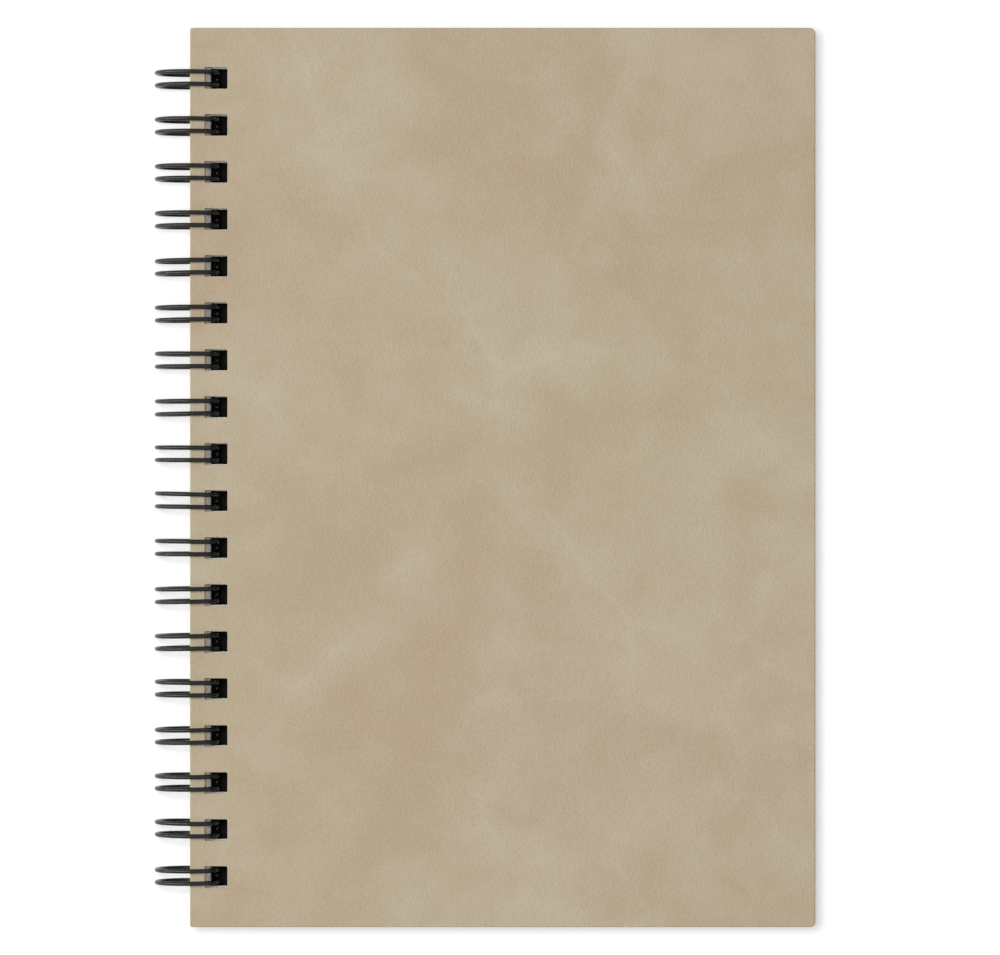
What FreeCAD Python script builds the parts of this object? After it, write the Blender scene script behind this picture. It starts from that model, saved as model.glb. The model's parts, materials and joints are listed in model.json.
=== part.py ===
"""Notebook bound with twin-loop wire: two covers, a block of punched pages and one formed wire.

X runs from the wire to the fore-edge, Y from tail to head and Z up, in millimetres.
The origin is the middle of the footprint, at the lowest point of the wire loops.
Angles on the wire are measured about the ring axis, up from the side of the fore-edge.
"""
import FreeCAD
import Part
import Sketcher
import math
import os

# Driving sizes. Each can be changed by itself.
DRIVING = {
    # covers: board wrapped in leatherette
    "cover_width": 169.0,
    "cover_height": 243.0,
    "cover_thickness": 1.5,
    "cover_fore_radius": 1.5,
    "cover_spine_radius": 0.6,
    "cover_edge_radius": 0.3,
    "cover_hole_width": 6.1,
    # pages: the closed stack and how far it stays inside the covers
    "page_stack": 8.0,
    "page_end_inset": 1.0,
    "page_fore_inset": 1.2,
    "page_corner_radius": 1.5,
    "page_spine_margin": 4.0,
    "page_wire_gap": 1.2,
    # wire: two loops to the inch
    "loop_pitch": 12.7,
    "row_margin": 10.0,
    "wire_diameter": 1.2,
    "wire_spacing": 3.35,
    "wire_bend_radius": 1.0,
    # room that the pieces leave for each other
    "ring_slack": 4.1,
    "spine_standoff": 1.0,
    "cover_gap": 0.1,
    "hole_wire_gap": 0.2,
    "hole_side_gap": 0.62,
    "hole_corner_radius": 0.4,
    "seam_gap": 0.3,
    "bar_gap": 0.05,
    "relief_gap": 0.2,
}

# Sizes that follow from the driving ones.
DERIVED = {
    # the closed book and the ring that holds it
    "book_thickness": "page_stack + 2 * (cover_gap + cover_thickness)",
    "wire_radius": "wire_diameter / 2",
    "ring_inner_radius": "(book_thickness + ring_slack) / 2",
    "ring_radius": "ring_inner_radius + wire_radius",
    "ring_outer_radius": "ring_inner_radius + wire_diameter",
    # places across the width and up
    "overall_width": "cover_width + spine_standoff + ring_outer_radius",
    "fore_x": "overall_width / 2",
    "spine_x": "fore_x - cover_width",
    "ring_x": "spine_x - spine_standoff",
    "ring_z": "ring_outer_radius",
    "front_cover_z": "ring_z + page_stack / 2 + cover_gap",
    "back_cover_z": "ring_z - book_thickness / 2",
    # the row of loops, centred on the height of the covers
    "loop_count": "floor((cover_height - 2 * row_margin) / loop_pitch) + 1",
    "row_length": "(loop_count - 1) * loop_pitch",
    "first_loop_y": "-row_length / 2",
    "hole_height": "wire_spacing + wire_diameter + 2 * hole_side_gap",
    # the covers hang on the inside of the ring, where it leaves their outer faces
    "cover_hole_x": "ring_x + sqrt(ring_inner_radius ^ 2 - (book_thickness / 2) ^ 2) - hole_wire_gap",
    # the sheets are punched with the covers' tool and lie inside the ring, bowed like it
    "page_hole_width": "cover_hole_width",
    "page_bow_radius": "ring_inner_radius - page_wire_gap",
    "page_spine_x": "ring_x - page_spine_margin",
    "page_width": "fore_x - page_fore_inset - page_spine_x - page_bow_radius",
    "page_height": "cover_height - 2 * page_end_inset",
    "page_bottom_z": "ring_z - page_stack / 2",
    "page_top_z": "ring_z + page_stack / 2",
    # the seam of the wire: straight bars between the loops, just above the back cover
    "bar_drop": "page_stack / 2 - wire_radius - bar_gap",
    "bar_reach": "sqrt(ring_radius ^ 2 + wire_bend_radius ^ 2)",
    "bar_angle": "asin(bar_drop / bar_reach)",
    "bar_x": "ring_x + bar_reach * cos(bar_angle)",
    "bar_z": "ring_z - bar_drop",
    "half_bar": "loop_pitch / 2 - wire_spacing / 2 - wire_bend_radius",
    "root_angle": "-bar_angle - atan(wire_bend_radius / ring_radius)",
    # each loop ends in a round tip that stops short of the bars
    "tip_radius": "wire_spacing / 2",
    "tip_clear": "tip_radius + wire_bend_radius + wire_diameter + seam_gap",
    "seam_length": "sqrt(tip_clear ^ 2 - (tip_radius + wire_bend_radius) ^ 2)",
    "seam_angle": "1deg * seam_length / ring_radius * 180 / pi",
    "tip_angle": "root_angle + seam_angle",
    "loop_sweep": "360deg - seam_angle",
    "relief_radius": "wire_radius + relief_gap",
}

doc = FreeCAD.newDocument("twin_loop_notebook")
sheet = doc.addObject("Spreadsheet::Sheet", "Sizes")
for row, (alias, content) in enumerate({**DRIVING, **DERIVED}.items(), start=1):
    cell = "B" + str(row)
    sheet.set("A" + str(row), alias)
    sheet.set(cell, str(content) if alias in DRIVING else "=" + content)
    sheet.setAlias(cell, alias)
doc.recompute()


def value(expression):
    """The present number of an expression of sizes."""
    result = sheet.evalExpression(expression)
    return getattr(result, "Value", result)


def bind(item, **expressions):
    """Ties properties of an object to expressions of sizes, with a dot written as two underscores."""
    for name, expression in expressions.items():
        item.setExpression(name.replace("__", "."), expression)


def new_body(label):
    body = doc.addObject("PartDesign::Body", label)
    body.Label = label
    return body


def origin_feature(body, role):
    """The plane or axis of a body's own origin that has this role."""
    return next(item for item in body.Origin.OriginFeatures if item.Role == role)


def new_sketch(body, name, plane, offset):
    """A sketch parallel to an origin plane, moved along that plane's normal by an expression."""
    sketch = body.newObject("Sketcher::SketchObject", name)
    sketch.AttachmentSupport = (origin_feature(body, plane), [""])
    sketch.MapMode = "FlatFace"
    bind(sketch, AttachmentOffset__Base__z=offset)
    return sketch


def constrain(sketch, name, expression, kind, *where):
    """Adds a dimension to a sketch under a name and ties it to an expression of sizes."""
    index = sketch.addConstraint(Sketcher.Constraint(kind, *where, value(expression)))
    sketch.renameConstraint(index, name)
    sketch.setExpression("Constraints." + name, expression)


def line(start, end):
    return Part.LineSegment(FreeCAD.Vector(*start), FreeCAD.Vector(*end))


def arc(centre, radius, start, end):
    circle = Part.Circle(FreeCAD.Vector(*centre), FreeCAD.Vector(0, 0, 1), radius)
    return Part.ArcOfCircle(circle, math.radians(start), math.radians(end))


def rounded_rectangle(sketch, left, right, bottom, top, left_radius, right_radius):
    """Draws a rectangle whose left and right corners have their own radii."""
    x0, x1, y0, y1 = value(left), value(right), value(bottom), value(top)
    small, large = value(left_radius), value(right_radius)
    sketch.addGeometry([
        line((x0 + small, y0), (x1 - large, y0)),
        arc((x1 - large, y0 + large), large, 270, 360),
        line((x1, y0 + large), (x1, y1 - large)),
        arc((x1 - large, y1 - large), large, 0, 90),
        line((x1 - large, y1), (x0 + small, y1)),
        arc((x0 + small, y1 - small), small, 90, 180),
        line((x0, y1 - small), (x0, y0 + small)),
        arc((x0 + small, y0 + small), small, 180, 270),
    ])
    for index in range(8):
        sketch.addConstraint(Sketcher.Constraint("Tangent", index, 2, (index + 1) % 8, 1))
    sketch.addConstraint([
        Sketcher.Constraint("Horizontal", 0),
        Sketcher.Constraint("Horizontal", 4),
        Sketcher.Constraint("Vertical", 2),
        Sketcher.Constraint("Vertical", 6),
        Sketcher.Constraint("Equal", 1, 3),
        Sketcher.Constraint("Equal", 5, 7),
    ])
    constrain(sketch, "left_radius", left_radius, "Radius", 7)
    constrain(sketch, "right_radius", right_radius, "Radius", 1)
    constrain(sketch, "left", left, "DistanceX", -1, 1, 6, 1)
    constrain(sketch, "right", right, "DistanceX", -1, 1, 2, 1)
    constrain(sketch, "bottom", bottom, "DistanceY", -1, 1, 0, 1)
    constrain(sketch, "top", top, "DistanceY", -1, 1, 4, 1)


def bowed_rectangle(sketch, centre_x, width, bottom, top):
    """Draws the side view of a stack of sheets: flat above and below, bowed like the ring at its ends.

    Both ends bulge towards the fore-edge, about centres at the height of the ring axis.
    """
    radius = "Sizes.page_bow_radius"
    x, reach, step = value(centre_x), value(radius), value(width)
    axis, y0, y1 = value("Sizes.ring_z"), value(bottom), value(top)
    low = math.degrees(math.asin((y0 - axis) / reach))
    high = math.degrees(math.asin((y1 - axis) / reach))
    x_low = x + reach * math.cos(math.radians(low))
    x_high = x + reach * math.cos(math.radians(high))
    sketch.addGeometry([
        line((x_low, y0), (x_low + step, y0)),
        arc((x + step, axis), reach, low, high),
        line((x_high + step, y1), (x_high, y1)),
        arc((x, axis), reach, low, high),
    ])
    sketch.addConstraint([
        Sketcher.Constraint("Coincident", 0, 2, 1, 1),
        Sketcher.Constraint("Coincident", 1, 2, 2, 1),
        Sketcher.Constraint("Coincident", 2, 2, 3, 2),
        Sketcher.Constraint("Coincident", 3, 1, 0, 1),
        Sketcher.Constraint("Horizontal", 0),
        Sketcher.Constraint("Horizontal", 2),
        Sketcher.Constraint("Equal", 1, 3),
        Sketcher.Constraint("Horizontal", 1, 3, 3, 3),
    ])
    constrain(sketch, "bow", radius, "Radius", 3)
    constrain(sketch, "centre_x", centre_x, "DistanceX", -1, 1, 3, 3)
    constrain(sketch, "centre_z", "Sizes.ring_z", "DistanceY", -1, 1, 3, 3)
    constrain(sketch, "width", width, "DistanceX", 3, 3, 1, 3)
    constrain(sketch, "bottom", bottom, "DistanceY", -1, 1, 0, 1)
    constrain(sketch, "top", top, "DistanceY", -1, 1, 2, 1)


def repeat_along_row(body, name, feature=None):
    """Repeats one feature of a body, or all that it holds so far, once for each loop of the wire."""
    doc.recompute()
    pattern = body.newObject("PartDesign::LinearPattern", name)
    if feature:
        pattern.Originals = [feature]
    else:
        pattern.TransformMode = "Whole shape"
    pattern.Direction = (origin_feature(body, "Y_Axis"), [""])
    bind(pattern, Length="Sizes.row_length", Occurrences="Sizes.loop_count")
    body.Tip = pattern


def edge_names(shape, wanted):
    """Names of the edges of a shape for which a test holds."""
    return ["Edge" + str(index) for index, edge in enumerate(shape.Edges, start=1) if wanted(edge)]


def cover(label, base):
    """A wrapped board with eased edges and one punched hole for each loop."""
    body = new_body(label)
    outline = new_sketch(body, label + "_outline", "XY_Plane", base)
    rounded_rectangle(outline, "Sizes.spine_x", "Sizes.fore_x", "-Sizes.cover_height / 2",
                      "Sizes.cover_height / 2", "Sizes.cover_spine_radius", "Sizes.cover_fore_radius")
    board = body.newObject("PartDesign::Pad", label + "_board")
    board.Profile = outline
    bind(board, Length="Sizes.cover_thickness")
    doc.recompute()

    eased = body.newObject("PartDesign::Fillet", label + "_eased_edges")
    flat = edge_names(board.Shape, lambda edge: edge.BoundBox.ZLength < 0.01)
    eased.Base = (board, flat)
    bind(eased, Radius="Sizes.cover_edge_radius")
    doc.recompute()

    punch = new_sketch(body, label + "_punch", "XY_Plane", base)
    rounded_rectangle(punch, "Sizes.cover_hole_x", "Sizes.cover_hole_x + Sizes.cover_hole_width",
                      "Sizes.first_loop_y - Sizes.hole_height / 2",
                      "Sizes.first_loop_y + Sizes.hole_height / 2",
                      "Sizes.hole_corner_radius", "Sizes.hole_corner_radius")
    hole = body.newObject("PartDesign::Pocket", label + "_hole")
    hole.Profile = punch
    hole.Type = "ThroughAll"
    hole.Midplane = True
    repeat_along_row(body, label + "_holes", hole)
    return body


def page_block():
    """The closed stack of sheets, punched for the loops and lifted over the bars of the seam."""
    body = new_body("page_block")
    side = new_sketch(body, "page_side", "XZ_Plane", "0")
    bowed_rectangle(side, "Sizes.page_spine_x", "Sizes.page_width",
                    "Sizes.page_bottom_z", "Sizes.page_top_z")
    stack = body.newObject("PartDesign::Pad", "page_stack")
    stack.Profile = side
    stack.Midplane = True
    bind(stack, Length="Sizes.page_height")
    doc.recompute()

    corners = body.newObject("PartDesign::Fillet", "page_corners")
    corners.Base = (stack, edge_names(stack.Shape, is_fore_corner))
    bind(corners, Radius="Sizes.page_corner_radius")
    doc.recompute()

    punch = new_sketch(body, "page_punch", "XZ_Plane", "-Sizes.first_loop_y")
    bowed_rectangle(punch, "Sizes.ring_x", "Sizes.page_hole_width",
                    "Sizes.page_bottom_z - Sizes.cover_gap", "Sizes.page_top_z + Sizes.cover_gap")
    hole = body.newObject("PartDesign::Pocket", "page_hole")
    hole.Profile = punch
    hole.Midplane = True
    bind(hole, Length="Sizes.hole_height")
    repeat_along_row(body, "page_holes", hole)
    doc.recompute()

    relief = new_sketch(body, "bar_relief", "XZ_Plane", "0")
    draw_relief(relief)
    groove = body.newObject("PartDesign::Pocket", "bar_groove")
    groove.Profile = relief
    groove.Midplane = True
    bind(groove, Length="Sizes.row_length + Sizes.loop_pitch + 2 * Sizes.relief_gap")
    return body


def is_fore_corner(edge):
    """Whether an edge of the plain stack runs up its fore-edge, at the head or the tail."""
    box = edge.BoundBox
    return box.YLength < 0.01 and box.ZLength > value("Sizes.page_stack") / 2 and box.XMin > 0


def draw_relief(sketch):
    """Draws the groove under the last sheets: round over the bar and open at the back cover."""
    x, z, radius = value("Sizes.bar_x"), value("Sizes.bar_z"), value("Sizes.relief_radius")
    floor = "Sizes.page_bottom_z - Sizes.cover_gap"
    sketch.addGeometry([
        arc((x, z), radius, 0, 180),
        line((x - radius, z), (x - radius, value(floor))),
        line((x - radius, value(floor)), (x + radius, value(floor))),
        line((x + radius, value(floor)), (x + radius, z)),
    ])
    sketch.addConstraint([
        Sketcher.Constraint("Tangent", 0, 2, 1, 1),
        Sketcher.Constraint("Coincident", 1, 2, 2, 1),
        Sketcher.Constraint("Coincident", 2, 2, 3, 1),
        Sketcher.Constraint("Tangent", 3, 2, 0, 1),
        Sketcher.Constraint("Vertical", 1),
        Sketcher.Constraint("Vertical", 3),
        Sketcher.Constraint("Horizontal", 2),
    ])
    constrain(sketch, "radius", "Sizes.relief_radius", "Radius", 0)
    constrain(sketch, "bar_x", "Sizes.bar_x", "DistanceX", -1, 1, 0, 3)
    constrain(sketch, "bar_z", "Sizes.bar_z", "DistanceY", -1, 1, 0, 3)
    constrain(sketch, "floor", floor, "DistanceY", -1, 1, 2, 1)


def turn(axis, angle):
    """The expression of a turn about an axis, given as three numbers."""
    return "rotation(vector(" + axis + "); " + angle + ")"


def on_ring(angle, along_row, along_wire, turns):
    """The expression of a placement on the first loop's ring.

    It stands at this angle on the ring's centre line, moved along the row and along the wire's tangent.
    There X points away from the ring axis, Y along the row and Z along the tangent.
    """
    ring = "placement(vector(Sizes.ring_x; Sizes.first_loop_y; Sizes.ring_z); "
    local = "placement(vector(Sizes.ring_radius; " + along_row + "; " + along_wire + "); "
    return ring + turn("0; 1; 0", "-" + angle) + ") * " + local + turns + ")"


def wire_bend(body, name, radius, sweep, placement):
    bend = body.newObject("PartDesign::AdditiveTorus", name)
    bind(bend, Radius1=radius, Radius2="Sizes.wire_radius", Angle3=sweep, Placement=placement)


def wire_bar(body, name, placement):
    bar = body.newObject("PartDesign::AdditiveCylinder", name)
    bind(bar, Radius="Sizes.wire_radius", Height="Sizes.half_bar", Placement=placement)


def twin_loop_wire():
    """One wire bent into a comb of double loops and closed into rings.

    Each loop starts at the seam, goes once round the ring and comes back in a round tip.
    The loops are joined by straight bars that lie along the seam.
    """
    body = new_body("twin_loop_wire")
    quarter = turn("1; 0; 0", "90")
    side = "Sizes.wire_spacing / 2"
    outward = side + " + Sizes.wire_bend_radius"
    centre = "vector(Sizes.ring_x; Sizes.first_loop_y"
    spin = turn("0; 1; 0", "-Sizes.tip_angle") + " * " + quarter

    def ring(name, sign):
        place = "placement(" + centre + sign + side + "; Sizes.ring_z); " + spin + ")"
        wire_bend(body, name, "Sizes.ring_radius", "Sizes.loop_sweep", place)

    def root(name, sign, facing):
        turns = turn("0; 0; 1", facing) + " * " + quarter
        place = on_ring("Sizes.root_angle", sign + "(" + outward + ")", "0", turns)
        wire_bend(body, name, "Sizes.wire_bend_radius", "90deg", place)

    def bar(name, sign, tilt):
        place = on_ring("Sizes.root_angle", sign + "(" + outward + ")", "Sizes.wire_bend_radius",
                        turn("1; 0; 0", tilt))
        wire_bar(body, name, place)

    tip_turns = turn("0; 0; 1", "90") + " * " + turn("1; 0; 0", "-90")
    ring("head_ring", " + ")
    wire_bend(body, "tip", "Sizes.tip_radius", "180deg", on_ring("Sizes.tip_angle", "0", "0", tip_turns))
    ring("tail_ring", " - ")
    root("head_bend", "", "-90")
    root("tail_bend", "-", "90")
    bar("head_bar", "", "-90")
    bar("tail_bar", "-", "90")
    repeat_along_row(body, "loops")
    return body


bodies = [
    cover("front_cover", "Sizes.front_cover_z"),
    page_block(),
    cover("back_cover", "Sizes.back_cover_z"),
    twin_loop_wire(),
]
doc.recompute()

for item in doc.Objects:
    if "Invalid" in item.State or "Error" in item.State:
        raise RuntimeError(item.Name + " failed: " + str(item.State))
for body in bodies:
    shape = body.Shape
    if shape.isNull() or not shape.isValid() or len(shape.Solids) != 1:
        raise RuntimeError(body.Label + " is not one valid solid")

os.makedirs("parts", exist_ok=True)
for body in bodies:
    body.Shape.exportStep("parts/" + body.Label + ".step")
    box = body.Shape.optimalBoundingBox()
    print(body.Label, "volume", round(body.Shape.Volume, 1), "mm3, from",
          [round(low, 3) for low in (box.XMin, box.YMin, box.ZMin)], "to",
          [round(high, 3) for high in (box.XMax, box.YMax, box.ZMax)])
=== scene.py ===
"""A notebook bound with twin-loop wire: its covers, leaves and wire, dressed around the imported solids."""
import json
import math
import random

import bmesh
import bpy
from bpy.props import FloatProperty, FloatVectorProperty, IntProperty, PointerProperty
from mathutils import Matrix, Vector


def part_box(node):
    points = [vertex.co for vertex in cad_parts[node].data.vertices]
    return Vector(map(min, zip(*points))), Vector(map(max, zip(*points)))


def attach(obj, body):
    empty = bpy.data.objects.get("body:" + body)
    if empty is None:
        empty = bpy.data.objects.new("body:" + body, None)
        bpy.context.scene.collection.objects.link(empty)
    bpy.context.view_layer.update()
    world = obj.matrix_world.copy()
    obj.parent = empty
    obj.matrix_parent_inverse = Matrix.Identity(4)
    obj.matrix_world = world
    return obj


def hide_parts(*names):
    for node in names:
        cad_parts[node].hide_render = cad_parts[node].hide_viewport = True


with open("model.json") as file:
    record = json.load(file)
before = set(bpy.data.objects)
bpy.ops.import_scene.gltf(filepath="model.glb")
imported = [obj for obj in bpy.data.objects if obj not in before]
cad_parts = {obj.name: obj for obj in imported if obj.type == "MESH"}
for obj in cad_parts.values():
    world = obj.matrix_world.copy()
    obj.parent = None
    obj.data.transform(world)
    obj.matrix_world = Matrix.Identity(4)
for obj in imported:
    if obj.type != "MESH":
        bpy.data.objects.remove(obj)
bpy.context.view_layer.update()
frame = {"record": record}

bl_info = {
    "name": "Twin-loop notebook",
    "version": (1, 0, 0),
    "blender": (4, 5, 0),
    "location": "3D View > Sidebar > Notebook",
    "description": "Builds the covers, leaves and wire of a notebook bound with twin-loop wire",
    "category": "Add Mesh",
}

MM = 0.001
FRONT_LOW, FRONT_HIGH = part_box("front_cover")
BACK_LOW, BACK_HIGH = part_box("back_cover")
PAGES_LOW, PAGES_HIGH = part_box("page_block")
RING_AXIS = Vector(frame["record"]["behaviour"]["joints"][0]["pos_m"])

# How finely the wire is drawn: round its section, and along its rings, tips and bends.
WIRE_SIDES, RING_STEPS, TIP_STEPS, BEND_STEPS = 14, 64, 12, 6
# A leaf, measured from its holes' spine side: it lies on the seam's bars between the first two places,
# and is flat again past the third.
BAR_START, BAR_END, LIFT_END = 1.7 * MM, 3.3 * MM, 11.3 * MM
LEAF_SEED, LOOP_SEED = 5, 11
# Black painted into the floor under the row of holes: a painted shade that keeps the holes dark.
PAINTED_SHADE_BLACK = (0.01, 0.01, 0.01, 1.0)
CAMERA_REACH = 20.0


def linear(code):
    """Turn an sRGB hex value such as "#B9A98E" into linear red, green and blue."""
    channels = [int(code[place:place + 2], 16) / 255 for place in (1, 3, 5)]
    return tuple(c / 12.92 if c <= 0.04045 else ((c + 0.055) / 1.055) ** 2.4 for c in channels)


class NotebookBindingSettings(bpy.types.PropertyGroup):
    """Sizes of the row of holes and of the wire."""

    loop_count: IntProperty(
        name="Loops", description="Number of double loops in the row", default=18, min=1)
    loop_pitch: FloatProperty(
        name="Loop pitch", description="From one double loop to the next",
        default=12.7 * MM, unit="LENGTH", precision=5)
    wire_radius: FloatProperty(
        name="Wire radius", description="Half the thickness of the coated wire",
        default=0.6 * MM, unit="LENGTH", precision=5)
    wire_spacing: FloatProperty(
        name="Wire spacing", description="Between the two wires of a double loop",
        default=3.35 * MM, unit="LENGTH", precision=5)
    ring_radius: FloatProperty(
        name="Ring radius", description="From the ring's axis to the middle of the wire",
        default=8.25 * MM, unit="LENGTH", precision=5)
    bend_radius: FloatProperty(
        name="Bend radius", description="Where a wire turns from its ring into a bar",
        default=1.0 * MM, unit="LENGTH", precision=5)
    bar_height: FloatProperty(
        name="Bar height", description="Height of the seam's bars above the floor",
        default=5.5 * MM, unit="LENGTH", precision=5)
    tip_angle: FloatProperty(
        name="Tip angle", description="Where the closed ring's tip starts, up from the fore side",
        default=math.radians(-8.42), subtype="ANGLE")
    unevenness: FloatProperty(
        name="Unevenness", description="How far the closing tool leaves a loop askew",
        default=0.3 * MM, unit="LENGTH", precision=5)
    wire_color: FloatVectorProperty(
        name="Wire", description="Colour of the nylon coating", subtype="COLOR", size=3,
        min=0.0, max=1.0, default=linear("#0A0A0C"))


class NotebookCoverSettings(bpy.types.PropertyGroup):
    """Sizes and colours of the two covers."""

    hole_left: FloatProperty(
        name="Hole position", description="From the spine edge to the holes",
        default=4.012 * MM, unit="LENGTH", precision=5)
    hole_width: FloatProperty(
        name="Hole width", description="Across the spine", default=6.1 * MM, unit="LENGTH", precision=5)
    hole_height: FloatProperty(
        name="Hole height", description="Along the spine", default=5.79 * MM, unit="LENGTH", precision=5)
    hole_corner: FloatProperty(
        name="Hole corner", description="Radius of a hole's corners",
        default=0.4 * MM, unit="LENGTH", precision=5)
    fore_corner: FloatProperty(
        name="Fore corner", description="Radius of the corners at the fore-edge",
        default=1.5 * MM, unit="LENGTH", precision=5)
    spine_corner: FloatProperty(
        name="Spine corner", description="Radius of the corners at the spine",
        default=0.6 * MM, unit="LENGTH", precision=5)
    edge_radius: FloatProperty(
        name="Edge radius", description="Rounding of the outer edges",
        default=0.3 * MM, unit="LENGTH", precision=5)
    punch_radius: FloatProperty(
        name="Punch radius", description="Rounding of the holes' edges",
        default=0.12 * MM, unit="LENGTH", precision=5)
    light_tint: FloatVectorProperty(
        name="Light clouds", description="Where the wiped tint is thin", subtype="COLOR", size=3,
        min=0.0, max=1.0, default=linear("#C2B69C"))
    dark_tint: FloatVectorProperty(
        name="Dark clouds", description="Where the wiped tint is full", subtype="COLOR", size=3,
        min=0.0, max=1.0, default=linear("#B5A384"))
    cloud_size: FloatProperty(
        name="Cloud size", description="Typical size of a cloud in the tint",
        default=38 * MM, unit="LENGTH", precision=5)
    crease_size: FloatProperty(
        name="Crease size", description="Typical distance between the creases of the crushed hide",
        default=48 * MM, unit="LENGTH", precision=5)
    grain_size: FloatProperty(
        name="Grain size", description="Size of one pebble of the embossed grain",
        default=0.65 * MM, unit="LENGTH", precision=5)


class NotebookPageSettings(bpy.types.PropertyGroup):
    """Sizes and colour of the leaves."""

    leaf_count: IntProperty(
        name="Leaves", description="Fewer and thicker than the real 80, so that their edges show",
        default=40, min=2)
    paper_share: FloatProperty(
        name="Paper share", description="Part of the stack's height that is paper and not air",
        default=0.8, min=0.1, max=0.95, subtype="FACTOR")
    spine_margin: FloatProperty(
        name="Spine margin", description="From a leaf's spine edge to its holes",
        default=4.0 * MM, unit="LENGTH", precision=5)
    leaf_width: FloatProperty(
        name="Leaf width", description="From the spine edge to the fore-edge",
        default=166.35 * MM, unit="LENGTH", precision=5)
    fore_corner: FloatProperty(
        name="Fore corner", description="Radius of the corners at the fore-edge",
        default=1.5 * MM, unit="LENGTH", precision=5)
    wall_radius: FloatProperty(
        name="Stop radius", description="From the ring's axis to the holes' spine side, which bows the stack",
        default=6.45 * MM, unit="LENGTH", precision=5)
    bar_lift: FloatProperty(
        name="Bar lift", description="How far the last leaf rises over the seam's bars",
        default=1.3 * MM, unit="LENGTH", precision=5)
    spread: FloatProperty(
        name="Spread", description="How unevenly the leaves are knocked up",
        default=0.15 * MM, unit="LENGTH", precision=5)
    paper_color: FloatVectorProperty(
        name="Paper", description="Colour of the uncoated paper", subtype="COLOR", size=3,
        min=0.0, max=1.0, default=linear("#F0EEE7"))


class NotebookStageSettings(bpy.types.PropertyGroup):
    """Camera, lights and floor."""

    camera_rise: FloatProperty(
        name="Camera rise", description="From the front cover up to the camera",
        default=1.726, unit="LENGTH")
    view_width: FloatProperty(
        name="View width", description="What the picture's width covers on the front cover",
        default=270.2 * MM, unit="LENGTH", precision=5)
    camera_shift: FloatProperty(
        name="Camera shift", description="From the footprint's middle to the picture's middle",
        default=4.2 * MM, unit="LENGTH", precision=5)
    key_power: FloatProperty(
        name="Key power", description="Power of the soft light on the notebook, in watts",
        default=83.5, min=0.0)
    key_size: FloatVectorProperty(
        name="Key size", description="Along the wires and along the spine", size=2,
        default=(5.0, 0.5), unit="LENGTH")
    key_place: FloatVectorProperty(
        name="Key place", description="Where the light on the notebook stands", size=3,
        default=(-1.6, 0.15, 1.9), unit="LENGTH", subtype="XYZ")
    sweep_power: FloatProperty(
        name="Sweep power", description="Power of the soft light on the floor, in watts",
        default=15.0, min=0.0)
    sweep_size: FloatVectorProperty(
        name="Sweep size", description="Both sides of the light on the floor", size=2,
        default=(0.3, 0.3), unit="LENGTH")
    sweep_place: FloatVectorProperty(
        name="Sweep place", description="Where the light on the floor stands", size=3,
        default=(-0.15, 0.075, 1.5), unit="LENGTH", subtype="XYZ")
    fill_strength: FloatProperty(
        name="Fill strength", description="Light from all around", default=0.30, min=0.0)
    floor_reach: FloatProperty(
        name="Floor reach", description="From the middle of the floor to its sides",
        default=4.0, unit="LENGTH")
    floor_glow: FloatProperty(
        name="Floor glow", description="Lifts the floor to white where the camera sees it",
        default=0.50, min=0.0)
    # The floor is painted black under the row of holes, a painted shade that keeps them dark; these three
    # settings bound that patch.
    painted_shade_start: FloatProperty(
        name="Card start", description="From the spine edge to the black card under the holes",
        default=2.7 * MM, unit="LENGTH", precision=5)
    painted_shade_end: FloatProperty(
        name="Card end", description="From the spine edge to the far side of the black card",
        default=10.7 * MM, unit="LENGTH", precision=5)
    painted_shade_reach: FloatProperty(
        name="Card reach", description="From the middle of the row of holes to the card's ends",
        default=112.0 * MM, unit="LENGTH", precision=5)
    floor_color: FloatVectorProperty(
        name="Floor", description="Colour of the floor", subtype="COLOR", size=3,
        min=0.0, max=1.0, default=(0.62, 0.62, 0.62))


def add_node(tree, kind, sockets=None, **settings):
    """Add one node with its settings, and set or link its inputs, each named or numbered."""
    node = tree.nodes.new(kind)
    for name, value in settings.items():
        setattr(node, name, value)
    for key, value in (sockets or {}).items():
        if isinstance(value, bpy.types.NodeSocket):
            tree.links.new(value, node.inputs[key])
        else:
            node.inputs[key].default_value = value
    return node


def new_material(name):
    """An empty node material, with its tree and its Object coordinates."""
    material = bpy.data.materials.new(name)
    material.use_nodes = True
    tree = material.node_tree
    tree.nodes.clear()
    place = add_node(tree, "ShaderNodeTexCoord").outputs["Object"]
    return material, tree, place


def show_surface(tree, surface):
    """Send a shader to the material's output."""
    add_node(tree, "ShaderNodeOutputMaterial", {"Surface": surface})


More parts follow.
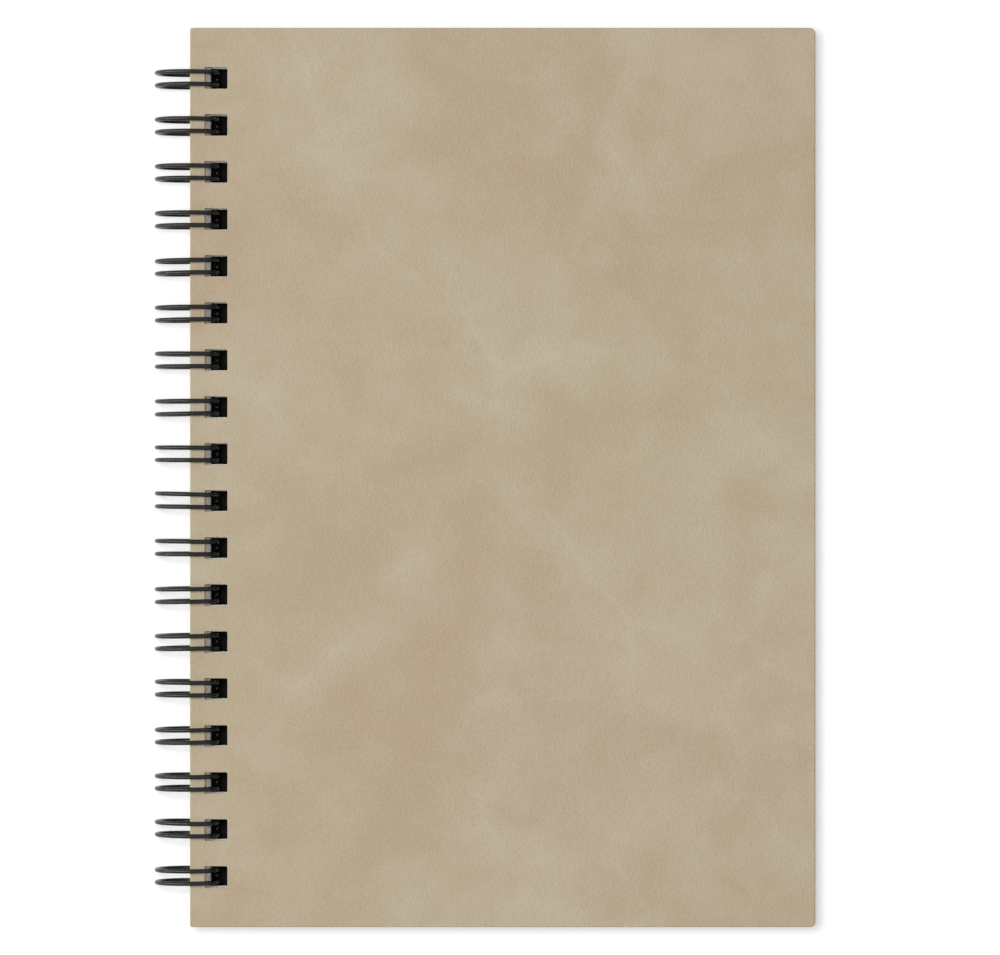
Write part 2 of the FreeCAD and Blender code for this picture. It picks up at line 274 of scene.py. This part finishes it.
def imitation_leather(cover):
    """Cotton-backed polyurethane skin: embossed with a fine pebble grain, then wiped with a second tint.

    It is matt to the eye. The tint is thinner in soft clouds and along the creases of a crushed hide,
    which run almost straight, meet at points, and come and go. The pebbles' tops are painted lighter and
    the valleys between them darker, a painted shade of the grain.
    """
    material, tree, place = new_material("Polyurethane imitation leather, tan")

    def noise(scale, detail, roughness, distortion=0.0):
        return add_node(tree, "ShaderNodeTexNoise", {
            "Vector": place, "Scale": scale, "Detail": detail, "Roughness": roughness,
            "Distortion": distortion})

    def between(value, low, high, start=0.0, end=1.0, curve="SMOOTHSTEP"):
        return add_node(tree, "ShaderNodeMapRange", {
            "Value": value, "From Min": low, "From Max": high, "To Min": start, "To Max": end},
            interpolation_type=curve).outputs[0]

    def join(one, other, operation):
        return add_node(tree, "ShaderNodeMath", {0: one, 1: other}, operation=operation).outputs[0]

    broad = noise(1 / cover.cloud_size, 3.0, 0.5, 0.5).outputs[0]
    small = noise(3 / cover.cloud_size, 4.0, 0.6, 0.3).outputs[0]
    clouds = join(join(broad, 0.6, "MULTIPLY"), join(small, 0.4, "MULTIPLY"), "ADD")

    bend = add_node(tree, "ShaderNodeVectorMath", {
        0: noise(1.2 / cover.crease_size, 3.0, 0.6).outputs["Color"], 1: (0.5, 0.5, 0.5)},
        operation="SUBTRACT")
    bent = add_node(tree, "ShaderNodeVectorMath", {
        0: bend.outputs[0], 1: (cover.crease_size * 0.35,) * 3, 2: place}, operation="MULTIPLY_ADD")
    hide = add_node(tree, "ShaderNodeTexVoronoi", {
        "Vector": bent.outputs[0], "Scale": 1 / cover.crease_size}, feature="DISTANCE_TO_EDGE")
    line = between(hide.outputs["Distance"], 0.0, 0.035, 1.0, 0.0)
    halo = between(hide.outputs["Distance"], 0.0, 0.22, 1.0, 0.0)
    shown = between(noise(1.6 / cover.crease_size, 2.0, 0.5).outputs[0], 0.40, 0.66)
    creases = join(join(join(line, 0.16, "MULTIPLY"), join(halo, 0.22, "MULTIPLY"), "ADD"), shown, "MULTIPLY")

    pebbles = add_node(tree, "ShaderNodeTexVoronoi", {"Vector": place, "Scale": 1 / cover.grain_size},
                       feature="SMOOTH_F1").outputs["Distance"]
    pores = noise(3 / cover.grain_size, 2.0, 0.6).outputs[0]
    # Painted shade: the valleys between the pebbles darker, their tops lighter.
    valley_shade = between(pebbles, 0.2, 0.7, 0.15, -0.15, "LINEAR")

    # The tint's mix carries the real wiped tint of clouds and creases, and the painted shade of the grain.
    thin_tint_and_grain_shade = join(join(between(clouds, 0.34, 0.70, 0.03, 0.71), creases, "ADD"), valley_shade, "ADD")
    tint = add_node(tree, "ShaderNodeMix", {
        0: thin_tint_and_grain_shade, 6: (*cover.dark_tint, 1.0), 7: (*cover.light_tint, 1.0)}, data_type="RGBA")
    rosy = between(noise(0.3 / cover.cloud_size, 1.0, 0.5).outputs[0], 0.35, 0.65)
    dyed = add_node(tree, "ShaderNodeMix", {0: rosy, 6: tint.outputs[2], 7: (1.0, 0.965, 0.985, 1.0)},
                    data_type="RGBA", blend_type="MULTIPLY")
    relief = join(pebbles, pores, "ADD")
    grain = add_node(tree, "ShaderNodeBump", {"Strength": 0.8, "Distance": 0.08 * MM, "Height": relief})
    skin = add_node(tree, "ShaderNodeBsdfPrincipled", {
        "Base Color": dyed.outputs[2], "Roughness": between(pores, 0.0, 1.0, 0.52, 0.68, "LINEAR"),
        "IOR": 1.5, "Normal": grain.outputs[0]})
    show_surface(tree, skin.outputs[0])
    return material


def writing_paper(pages):
    """Uncoated wood-free paper: quite matt. Its cut edges are painted darker than its flat sides, by a random
    amount from leaf to leaf: a painted shade between the leaves.
    """
    material, tree, place = new_material("Uncoated writing paper, white")
    layers = add_node(tree, "ShaderNodeMapping", {"Vector": place, "Scale": (1.0, 1.0, 4000.0)})
    leaf = add_node(tree, "ShaderNodeTexNoise", {"Vector": layers.outputs[0], "Scale": 1.0, "Detail": 2.0})
    fibres = add_node(tree, "ShaderNodeTexNoise", {
        "Vector": place, "Scale": 1 / (0.5 * MM), "Detail": 3.0, "Roughness": 0.7})
    flat = add_node(tree, "ShaderNodeAttribute", attribute_name="flat_side").outputs["Fac"]
    # Painted shade: the cut edges darker by a random amount from leaf to leaf; the flat sides keep the
    # paper's colour.
    own = add_node(tree, "ShaderNodeMapRange", {"Value": leaf.outputs[0], "From Min": 0.35, "From Max": 0.65})
    share = add_node(tree, "ShaderNodeMath", {0: own.outputs[0], 1: flat}, operation="MAXIMUM")
    shaded = tuple(0.7 * c for c in pages.paper_color)
    tint = add_node(tree, "ShaderNodeMix", {
        0: share.outputs[0], 6: (*shaded, 1.0), 7: (*pages.paper_color, 1.0)}, data_type="RGBA")
    tooth = add_node(tree, "ShaderNodeBump", {
        "Strength": 0.2, "Distance": 0.02 * MM, "Height": fibres.outputs[0]})
    sheet = add_node(tree, "ShaderNodeBsdfPrincipled", {
        "Base Color": tint.outputs[2], "Roughness": 0.85, "IOR": 1.45, "Normal": tooth.outputs[0]})
    show_surface(tree, sheet.outputs[0])
    return material


def nylon_coating(binding):
    """Steel wire dipped in black nylon: satin, with the coat's slight ripple.

    The coat is matted, so it mirrors a little less than clear nylon, whose IOR is 1.53.
    """
    material, tree, place = new_material("Nylon-coated steel wire, black")
    ripple = add_node(tree, "ShaderNodeTexNoise", {
        "Vector": place, "Scale": 1 / (0.8 * MM), "Detail": 2.0, "Roughness": 0.5})
    coat = add_node(tree, "ShaderNodeBump", {
        "Strength": 0.08, "Distance": 0.03 * MM, "Height": ripple.outputs[0]})
    worn = tuple(1.6 * c for c in binding.wire_color)
    tint = add_node(tree, "ShaderNodeMix", {
        0: ripple.outputs[0], 6: (*binding.wire_color, 1.0), 7: (*worn, 1.0)}, data_type="RGBA")
    gloss = add_node(tree, "ShaderNodeMapRange", {"Value": ripple.outputs[0], "To Min": 0.22, "To Max": 0.34})
    nylon = add_node(tree, "ShaderNodeBsdfPrincipled", {
        "Base Color": tint.outputs[2], "Roughness": gloss.outputs[0], "IOR": 1.45, "Normal": coat.outputs[0]})
    show_surface(tree, nylon.outputs[0])
    return material


def seen_by_eye(tree):
    """1 for the camera's rays and for what gloss or glass shows, otherwise 0."""
    rays = add_node(tree, "ShaderNodeLightPath")
    direct = add_node(tree, "ShaderNodeMath", {
        0: rays.outputs["Is Camera Ray"], 1: rays.outputs["Is Glossy Ray"]}, operation="MAXIMUM")
    seen = add_node(tree, "ShaderNodeMath", {
        0: direct.outputs[0], 1: rays.outputs["Is Transmission Ray"]}, operation="MAXIMUM")
    return seen.outputs[0]


def inside_of(tree, place, left, right, tail, head, fade):
    """1 on the floor inside an outline, fading to 0 at its edges."""
    axes = add_node(tree, "ShaderNodeSeparateXYZ", {0: place})
    beyond = []
    for axis, low, high in (("X", left, right), ("Y", tail, head)):
        off = add_node(tree, "ShaderNodeMath", {0: axes.outputs[axis], 1: (low + high) / 2},
                       operation="SUBTRACT")
        away = add_node(tree, "ShaderNodeMath", {0: off.outputs[0]}, operation="ABSOLUTE")
        beyond.append(add_node(tree, "ShaderNodeMath", {0: away.outputs[0], 1: (high - low) / 2},
                               operation="SUBTRACT").outputs[0])
    edge = add_node(tree, "ShaderNodeMath", {0: beyond[0], 1: beyond[1]}, operation="MAXIMUM")
    inside = add_node(tree, "ShaderNodeMapRange", {
        "Value": edge.outputs[0], "From Min": -fade, "From Max": 0.0, "To Min": 1.0, "To Max": 0.0})
    return inside.outputs[0]


def studio_floor(stage):
    """Matt pale paper sweep, lifted to white only where it is looked at and not under the notebook.

    Under the row of holes the floor is painted black: a painted shade that keeps the holes dark.
    """
    material, tree, place = new_material("Matt pale paper sweep")
    # Painted shade: the floor black under the row of holes.
    hole_shade = inside_of(tree, place, FRONT_LOW[0] + stage.painted_shade_start, FRONT_LOW[0] + stage.painted_shade_end,
                     -stage.painted_shade_reach, stage.painted_shade_reach, fade=0.5 * MM)
    color = add_node(tree, "ShaderNodeMix", {
        0: hole_shade, 6: (*stage.floor_color, 1.0), 7: PAINTED_SHADE_BLACK}, data_type="RGBA")
    paper = add_node(tree, "ShaderNodeBsdfDiffuse", {"Color": color.outputs[2]})
    under = inside_of(tree, place, FRONT_LOW[0], FRONT_HIGH[0], FRONT_LOW[1], FRONT_HIGH[1], fade=2 * MM)
    bare = add_node(tree, "ShaderNodeMath", {0: 1.0, 1: under}, operation="SUBTRACT")
    seen = add_node(tree, "ShaderNodeMath", {0: seen_by_eye(tree), 1: bare.outputs[0]}, operation="MULTIPLY")
    lift = add_node(tree, "ShaderNodeMath", {0: seen.outputs[0], 1: stage.floor_glow}, operation="MULTIPLY")
    glow = add_node(tree, "ShaderNodeEmission", {"Strength": lift.outputs[0]})
    sweep = add_node(tree, "ShaderNodeAddShader", {0: paper.outputs[0], 1: glow.outputs[0]})
    show_surface(tree, sweep.outputs[0])
    return material


def loop_rows(binding):
    """Where the loops and their holes lie along the spine."""
    first = -(binding.loop_count - 1) / 2 * binding.loop_pitch
    return [first + place * binding.loop_pitch for place in range(binding.loop_count)]


def cut_along(shell, point, across):
    """Cut every face of a shell along a plane."""
    bmesh.ops.bisect_plane(shell, geom=shell.verts[:] + shell.edges[:] + shell.faces[:], dist=1e-7,
                           plane_co=point, plane_no=across)


def near(one, other):
    """Whether two lengths are the same to within a hundredth of a millimetre."""
    return abs(one - other) < 0.01 * MM


def punched_sheet(low, high, hole_left, hole_right, hole_height, rows, thickness, folds=()):
    """A flat sheet with its row of square holes, its underside at z = 0.

    Folds are more lines along the spine, at which the sheet can bend.
    """
    sheet = bmesh.new()
    corners = ((low[0], low[1]), (high[0], low[1]), (high[0], high[1]), (low[0], high[1]))
    sheet.faces.new([sheet.verts.new((x, y, 0.0)) for x, y in corners])
    for x in (hole_left, hole_right, *folds):
        cut_along(sheet, (x, 0, 0), (1, 0, 0))
    for row in rows:
        for side in (-0.5, 0.5):
            cut_along(sheet, (0, row + side * hole_height, 0), (0, 1, 0))
    holes = []
    for face in sheet.faces:
        middle = face.calc_center_median()
        if hole_left < middle.x < hole_right and min(abs(middle.y - row) for row in rows) < hole_height / 2:
            holes.append(face)
    bmesh.ops.delete(sheet, geom=holes, context="FACES")
    bmesh.ops.solidify(sheet, geom=sheet.faces[:], thickness=thickness)
    bmesh.ops.recalc_face_normals(sheet, faces=sheet.faces[:])
    lowest = min(vert.co.z for vert in sheet.verts)
    bmesh.ops.translate(sheet, vec=(0, 0, -lowest), verts=sheet.verts[:])
    return sheet


def round_edges(shell, edges, radius, segments):
    """Round some edges of a shell to a radius."""
    bmesh.ops.bevel(shell, geom=edges, offset=radius, offset_type="OFFSET", affect="EDGES",
                    segments=segments, profile=0.5, clamp_overlap=False, material=-1)


def upright_edges(shell, wanted):
    """Edges that stand upright and whose place in plan is wanted."""
    return [edge for edge in shell.edges
            if near(edge.verts[0].co.x, edge.verts[1].co.x) and near(edge.verts[0].co.y, edge.verts[1].co.y)
            and wanted(*edge.verts[0].co.xy)]


def rim_edges(shell, wanted):
    """Edges between a flat side and an upright wall, whose place in plan is wanted."""
    shell.normal_update()
    return [edge for edge in shell.edges
            if len(edge.link_faces) == 2
            and (abs(edge.link_faces[0].normal.z) > 0.5) != (abs(edge.link_faces[1].normal.z) > 0.5)
            and wanted(*((edge.verts[0].co + edge.verts[1].co) / 2).xy)]


def keep_piece(shell, name, material, body, node):
    """Make a shell the piece that stands for a CAD node."""
    mesh = bpy.data.meshes.new(name)
    shell.to_mesh(mesh)
    shell.free()
    mesh.materials.append(material)
    piece = bpy.data.objects.new(name, mesh)
    bpy.context.scene.collection.objects.link(piece)
    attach(piece, body)
    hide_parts(node)
    return piece


class NOTEBOOK_OT_stage(bpy.types.Operator):
    """Set up the floor, the soft light and the camera straight above the notebook"""

    bl_idname = "notebook.stage"
    bl_label = "Stage"

    def execute(self, context):
        stage = context.scene.notebook_stage
        scene = context.scene
        scene.view_settings.view_transform = "Standard"

        ground = bmesh.new()
        bmesh.ops.create_grid(ground, x_segments=1, y_segments=1, size=stage.floor_reach)
        mesh = bpy.data.meshes.new("floor")
        ground.to_mesh(mesh)
        ground.free()
        mesh.materials.append(studio_floor(stage))
        floor = bpy.data.objects.new("floor", mesh)
        scene.collection.objects.link(floor)

        # The sweep has a lamp of its own, almost straight above, so its shadow stays narrow. The notebook's
        # lamp is a long strip along the wires, which draws a light line on each, and doesn't reach the sweep.
        self.softbox(scene, "sweep_light", stage.sweep_power, stage.sweep_size, Vector(stage.sweep_place),
                     floor, "INCLUDE")
        self.softbox(scene, "notebook_light", stage.key_power, stage.key_size, Vector(stage.key_place),
                     floor, "EXCLUDE")

        world = bpy.data.worlds.new("white_surround")
        world.use_nodes = True
        tree = world.node_tree
        tree.nodes.clear()
        strength = add_node(tree, "ShaderNodeMapRange", {
            "Value": seen_by_eye(tree), "To Min": stage.fill_strength, "To Max": 1.0})
        surround = add_node(tree, "ShaderNodeBackground", {"Strength": strength.outputs[0]})
        add_node(tree, "ShaderNodeOutputWorld", {"Surface": surround.outputs[0]})
        scene.world = world

        lens = bpy.data.cameras.new("camera")
        lens.sensor_fit = "HORIZONTAL"
        lens.sensor_width = 36.0
        lens.lens = lens.sensor_width * stage.camera_rise / stage.view_width
        lens.clip_end = CAMERA_REACH
        camera = bpy.data.objects.new("camera", lens)
        camera.location = (stage.camera_shift, 0.0, FRONT_HIGH[2] + stage.camera_rise)
        scene.collection.objects.link(camera)
        scene.camera = camera
        return {"FINISHED"}

    def softbox(self, scene, name, power, size, place, floor, link_state):
        """A lamp aimed at the notebook's middle, for the floor alone or all else."""
        receivers = bpy.data.collections.new(name + "_receivers")
        receivers.objects.link(floor)
        receivers.collection_objects[0].light_linking.link_state = link_state
        lamp = bpy.data.lights.new(name, "AREA")
        lamp.shape = "RECTANGLE"
        lamp.size, lamp.size_y = size
        lamp.energy = power
        stand = bpy.data.objects.new(name, lamp)
        stand.location = place
        stand.rotation_euler = Vector((0, 0, 1)).rotation_difference(place).to_euler()
        stand.light_linking.receiver_collection = receivers
        scene.collection.objects.link(stand)


class NOTEBOOK_OT_covers(bpy.types.Operator):
    """Build the two punched covers"""

    bl_idname = "notebook.covers"
    bl_label = "Covers"

    def execute(self, context):
        cover = context.scene.notebook_cover
        leather = imitation_leather(cover)
        self.build(context, "front", FRONT_LOW, FRONT_HIGH, leather)
        self.build(context, "back", BACK_LOW, BACK_HIGH, leather)
        return {"FINISHED"}

    def build(self, context, side, low, high, leather):
        """One cover between two corners of its node's box."""
        cover = context.scene.notebook_cover
        rows = loop_rows(context.scene.notebook_binding)
        left = low[0] + cover.hole_left
        right = left + cover.hole_width
        board = punched_sheet(low, high, left, right, cover.hole_height, rows, high[2] - low[2])
        bmesh.ops.translate(board, vec=(0, 0, low[2]), verts=board.verts[:])

        def hole_corner(x, y):
            return near(x, left) or near(x, right)

        def at_end(y):
            return near(abs(y), high[1])

        round_edges(board, upright_edges(
            board, lambda x, y: hole_corner(x, y) and not at_end(y)), cover.hole_corner, 4)
        round_edges(board, upright_edges(
            board, lambda x, y: near(x, high[0]) and at_end(y)), cover.fore_corner, 6)
        round_edges(board, upright_edges(
            board, lambda x, y: near(x, low[0]) and at_end(y)), cover.spine_corner, 4)

        def in_row(x, y):
            return left - 0.1 * MM < x < right + 0.1 * MM and not near(abs(y), high[1])

        round_edges(board, rim_edges(board, lambda x, y: not in_row(x, y)), cover.edge_radius, 3)
        round_edges(board, rim_edges(board, in_row), cover.punch_radius, 2)
        for face in board.faces:
            face.smooth = True
        piece = keep_piece(board, side + "_leather", leather, side + "_cover",
                           side + "_cover")
        shading = piece.modifiers.new("even_flats", "WEIGHTED_NORMAL")
        shading.mode = "FACE_AREA"


class NOTEBOOK_OT_pages(bpy.types.Operator):
    """Build the stack of punched leaves"""

    bl_idname = "notebook.pages"
    bl_label = "Pages"

    def execute(self, context):
        pages = context.scene.notebook_page
        cover = context.scene.notebook_cover
        rows = loop_rows(context.scene.notebook_binding)
        stack = PAGES_HIGH[2] - PAGES_LOW[2]
        pitch = stack / pages.leaf_count
        thickness = pitch * pages.paper_share
        reach = PAGES_HIGH[1] - pages.spread
        fore = pages.leaf_width - pages.spine_margin

        # The leaf's own x starts at its holes' spine side. It can bend where it meets the seam's bars.
        leaf = punched_sheet((-pages.spine_margin, -reach), (fore, reach), 0.0, cover.hole_width,
                             cover.hole_height, rows, thickness,
                             folds=(-2.0 * MM, BAR_START, BAR_END, 7.5 * MM, 9.3 * MM, LIFT_END))

        def at_end(y):
            return near(abs(y), reach)

        round_edges(leaf, upright_edges(
            leaf, lambda x, y: (near(x, 0.0) or near(x, cover.hole_width)) and not at_end(y)),
            cover.hole_corner, 2)
        round_edges(leaf, upright_edges(
            leaf, lambda x, y: near(x, fore) and at_end(y)), pages.fore_corner, 5)
        leaf.normal_update()
        flat = leaf.faces.layers.float.new("flat_side")
        for face in leaf.faces:
            face[flat] = float(abs(face.normal.z) > 0.5)
        pattern = bpy.data.meshes.new("leaf")
        leaf.to_mesh(pattern)
        leaf.free()

        knock = random.Random(LEAF_SEED)
        block = bmesh.new()
        for place in range(pages.leaf_count):
            base = PAGES_LOW[2] + place * pitch
            height = base + thickness / 2 - RING_AXIS.z
            shift = RING_AXIS.x + math.sqrt(pages.wall_radius ** 2 - height ** 2)
            shift += knock.uniform(-0.3, 0.3) * pages.spread
            along = knock.uniform(-1.0, 1.0) * pages.spread
            share = 1 - place / pages.leaf_count
            known = len(block.verts)
            block.from_mesh(pattern)
            block.verts.ensure_lookup_table()
            for vert in block.verts[known:]:
                lift = share * self.lift_over_bar(vert.co.x, pages)
                vert.co += Vector((shift, along, base + lift))
        bpy.data.meshes.remove(pattern)
        keep_piece(block, "leaves", writing_paper(pages), "pages_and_wire", "page_block")
        return {"FINISHED"}

    def lift_over_bar(self, x, pages):
        """How far the last leaf lies above its flat place, at x from its holes' spine side."""
        if x < BAR_START:
            # The spine edge keeps a quarter of the lift.
            away = (BAR_START - x) / (pages.spine_margin + BAR_START)
            return pages.bar_lift * (1 - 0.75 * away)
        if x < BAR_END:
            return pages.bar_lift
        away = min((x - BAR_END) / (LIFT_END - BAR_END), 1.0)
        return pages.bar_lift * (1 - away * away * (3 - 2 * away))


class NOTEBOOK_OT_wire(bpy.types.Operator):
    """Build the twin-loop wire, from one double loop repeated along the spine"""

    bl_idname = "notebook.wire"
    bl_label = "Wire"

    def execute(self, context):
        binding = context.scene.notebook_binding
        pattern = bpy.data.meshes.new("loop")
        held = RING_AXIS.x + 0.8 * binding.ring_radius
        loop = self.double_loop(binding)
        loop.to_mesh(pattern)
        loop.free()
        wire = bmesh.new()
        closing = random.Random(LOOP_SEED)
        for row in loop_rows(binding):
            known = len(wire.verts)
            wire.from_mesh(pattern)
            wire.verts.ensure_lookup_table()
            skew = closing.uniform(-1.0, 1.0) * binding.unevenness
            pinch = closing.uniform(-0.3, 0.3) * binding.unevenness
            for vert in wire.verts[known:]:
                # The bars hold a loop in its place at the seam, and the ring's far side is free.
                free = max((held - vert.co.x) / (1.8 * binding.ring_radius), 0.0)
                vert.co.y += row + free * (skew + math.copysign(pinch, vert.co.y))
        bpy.data.meshes.remove(pattern)
        bmesh.ops.remove_doubles(wire, verts=wire.verts[:], dist=0.001 * MM)
        ends = [edge for edge in wire.edges if edge.is_boundary]
        bmesh.ops.holes_fill(wire, edges=ends, sides=0)
        bmesh.ops.recalc_face_normals(wire, faces=wire.faces[:])
        for face in wire.faces:
            face.smooth = len(face.verts) == 4
        keep_piece(wire, "coated_wire", nylon_coating(binding), "pages_and_wire", "twin_loop_wire")
        return {"FINISHED"}

    def double_loop(self, binding):
        """One double loop and the half bars beside it, drawn by moving a circle along the wire's line."""
        ring, bend, half = binding.ring_radius, binding.bend_radius, binding.wire_spacing / 2
        # The bar's height sets the angle at which a ring starts: the bend carries it from there to the bar.
        drop = (binding.bar_height - RING_AXIS.z) / math.hypot(ring, bend)
        root_angle = math.asin(drop) - math.atan2(bend, ring)
        sweep = 2 * math.pi + root_angle - binding.tip_angle
        root_way = Vector((math.sin(root_angle), 0, -math.cos(root_angle)))
        tip_way = Vector((math.sin(binding.tip_angle), 0, -math.cos(binding.tip_angle)))
        root = RING_AXIS + ring * Vector((math.cos(root_angle), 0, math.sin(root_angle)))
        tip = RING_AXIS + ring * Vector((math.cos(binding.tip_angle), 0, math.sin(binding.tip_angle)))
        bar = root - bend * root_way
        reach = half + bend
        along = Vector((0, 1, 0))
        straight = along * (binding.loop_pitch / 2 - reach)
        bend_axis = along.cross(root_way)

        tube = bmesh.new()
        start = (Matrix.Translation(bar - along * binding.loop_pitch / 2)
                 @ Matrix.Rotation(math.pi / 2, 4, "X"))
        bmesh.ops.create_circle(tube, cap_ends=False, segments=WIRE_SIDES, radius=binding.wire_radius,
                                matrix=start)
        end = tube.verts[:] + tube.edges[:]

        def draw(end, middle=RING_AXIS, axis=along, angle=0.0, steps=1, slide=(0, 0, 0)):
            return bmesh.ops.spin(tube, geom=end, cent=middle, axis=axis, dvec=slide, angle=angle,
                                  steps=steps, use_duplicate=False)["geom_last"]

        quarter = math.pi / 2
        end = draw(end, slide=straight)
        end = draw(end, bar - along * reach + bend * root_way, bend_axis, quarter, BEND_STEPS)
        end = draw(end, RING_AXIS, along, sweep, RING_STEPS)
        end = draw(end, tip, tip_way.cross(along), 2 * quarter, TIP_STEPS)
        end = draw(end, RING_AXIS, along, -sweep, RING_STEPS)
        end = draw(end, root + along * reach, bend_axis, quarter, BEND_STEPS)
        draw(end, slide=straight)
        return tube


class NOTEBOOK_PT_parts(bpy.types.Panel):
    """The notebook's parts, in the order in which they are built"""

    bl_label = "Notebook"
    bl_idname = "NOTEBOOK_PT_parts"
    bl_space_type = "VIEW_3D"
    bl_region_type = "UI"
    bl_category = "Notebook"

    def draw(self, context):
        for operator, settings in PARTS:
            box = self.layout.box()
            box.operator(operator.bl_idname)
            group = getattr(context.scene, settings)
            for name in group.__annotations__:
                box.prop(group, name)


PARTS = (
    (NOTEBOOK_OT_stage, "notebook_stage"),
    (NOTEBOOK_OT_covers, "notebook_cover"),
    (NOTEBOOK_OT_pages, "notebook_page"),
    (NOTEBOOK_OT_wire, "notebook_binding"),
)
SETTINGS = {
    "notebook_stage": NotebookStageSettings,
    "notebook_cover": NotebookCoverSettings,
    "notebook_page": NotebookPageSettings,
    "notebook_binding": NotebookBindingSettings,
}
CLASSES = (*SETTINGS.values(), *(operator for operator, _ in PARTS), NOTEBOOK_PT_parts)


def register():
    for entry in CLASSES:
        bpy.utils.register_class(entry)
    for name, group in SETTINGS.items():
        setattr(bpy.types.Scene, name, PointerProperty(type=group))


def unregister():
    for name in SETTINGS:
        delattr(bpy.types.Scene, name)
    for entry in reversed(CLASSES):
        bpy.utils.unregister_class(entry)


def main():
    """Build everything in order."""
    register()
    bpy.ops.notebook.stage()
    bpy.ops.notebook.covers()
    bpy.ops.notebook.pages()
    bpy.ops.notebook.wire()


if __name__ == "__main__":
    main()
